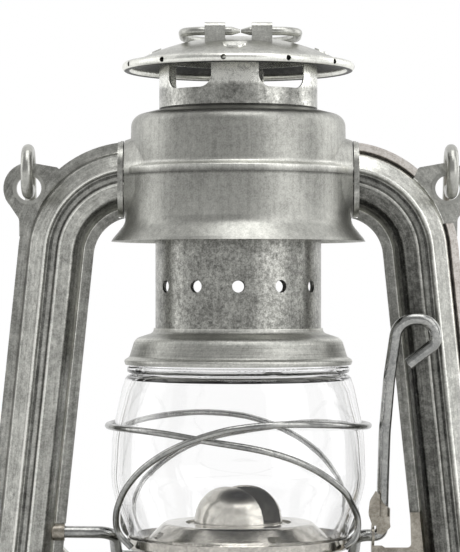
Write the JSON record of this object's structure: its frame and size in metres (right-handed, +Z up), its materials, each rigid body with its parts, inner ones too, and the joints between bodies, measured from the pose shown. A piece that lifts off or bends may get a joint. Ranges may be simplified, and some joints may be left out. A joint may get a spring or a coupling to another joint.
{
  "type": "hurricane lantern",
  "caption": "Small tubular oil lantern: round fuel tank, side air tubes, clear glass globe in wire guards, hood with sliding chimney and canopy, globe lift lever and wire bail.",
  "frame": {"origin": "centre of the foot ring's contact plane", "axes": "+Z up through the burner and chimney, -Y the front of the picture, +X the lever's side"},
  "size_m": [0.126, 0.0946, 0.1759],
  "materials": {
    "tin_plate": "worn satin",
    "wire_steel": "polished",
    "tinned_wire": "satin",
    "spring_steel": "satin",
    "burner_tin": "polished",
    "clear_glass": "clear",
    "wick_cotton": "woven",
    "gasket_rubber": "matt"
  },
  "bodies": {
    "frame": {"tank_pan": "tin_plate", "tank_lid": "tin_plate", "tank_seam": "tin_plate", "air_chamber_cover": "tin_plate", "filler_neck": "tin_plate", "burner_shell": "burner_tin", "spindle_gland": "burner_tin", "burner_dome": "burner_tin", "wick_tube": "burner_tin", "wick_holder": "burner_tin", "left_tube_front": "tin_plate", "left_tube_back": "tin_plate", "right_tube_front": "tin_plate", "right_tube_back": "tin_plate", "left_tube_collar": "tin_plate", "right_tube_collar": "tin_plate", "ear_eyelets": "tin_plate", "hood_cap": "tin_plate", "hood_skirt": "tin_plate", "chimney_guide": "tin_plate", "chimney_spring": "spring_steel", "lever_bracket": "tin_plate", "lift_wire_bearing": "tin_plate"},
    "lever": {"lift_wire": "wire_steel", "lever_clasp": "wire_steel"},
    "globe_carrier": {"globe_plate": "burner_tin", "bar_clips": "tin_plate", "guard_wire_left": "wire_steel", "guard_wire_right": "wire_steel", "globe": "clear_glass"},
    "chimney": {"chimney_tube": "tin_plate", "chimney_cup": "tin_plate", "draught_sleeve": "tin_plate", "crown": "tin_plate", "canopy": "tin_plate", "ring_straps": "tin_plate"},
    "ring": {"top_ring": "tinned_wire"},
    "bail": {"bail": "wire_steel"},
    "wick_gear": {"wick_spindle": "burner_tin", "wick_wheels": "burner_tin", "wick_knob": "burner_tin"},
    "wick": {"wick": "wick_cotton"},
    "gasket": {"filler_gasket": "gasket_rubber"},
    "cap": {"filler_cap": "tin_plate"}
  },
  "joints": [
    {"name": "lever_turn", "type": "hinge", "parent": "frame", "child": "lever", "pos_m": [-0.05, 0, 0.0501], "axis": [0.9999, 0, -0.0105], "range_deg": [0, 54]},
    {"name": "globe_lift", "type": "slide", "parent": "frame", "child": "globe_carrier", "axis": [0, 0, 1], "range_m": [0, 0.015], "deforming": ["chimney_spring"]},
    {"name": "chimney_lift", "type": "slide", "parent": "globe_carrier", "child": "chimney", "axis": [0, 0, 1], "range_m": [0, 0.0075], "stiffness_N_per_m": 150, "springref_m": -0.005, "deforming": ["chimney_spring"]},
    {"name": "ring_turn", "type": "hinge", "parent": "chimney", "child": "ring", "pos_m": [0, -0.0136, 0.1738], "axis": [1, 0, 0], "range_deg": [0, 110]},
    {"name": "bail_turn", "type": "hinge", "parent": "frame", "child": "bail", "pos_m": [0, 0, 0.1401], "axis": [1, 0, 0], "range_deg": [0, 245]},
    {"name": "wick_turn", "type": "hinge", "parent": "frame", "child": "wick_gear", "pos_m": [0.00259, 0.00356, 0.0415], "axis": [-0.809, 0.5878, 0], "range_deg": [-110, 80]},
    {"name": "wick_lift", "type": "slide", "parent": "frame", "child": "wick", "axis": [0, 0, 1], "range_m": [-0.00614, 0.00446]},
    {"name": "cap_lift", "type": "slide", "parent": "frame", "child": "gasket", "axis": [0, 0, 1], "range_m": [0, 0.003]},
    {"name": "cap_turn", "type": "hinge", "parent": "gasket", "child": "cap", "pos_m": [-0.02528, -0.02121, 0.0366], "axis": [0, 0, 1], "range_deg": [0, 720]}
  ],
  "couplings": [
    {"joint": "lever_turn", "follows": "globe_lift", "rad_per_m": 62.83},
    {"joint": "wick_turn", "follows": "wick_lift", "rad_per_m": 312.5},
    {"joint": "cap_turn", "follows": "cap_lift", "rad_per_m": 4188.8}
  ]
}
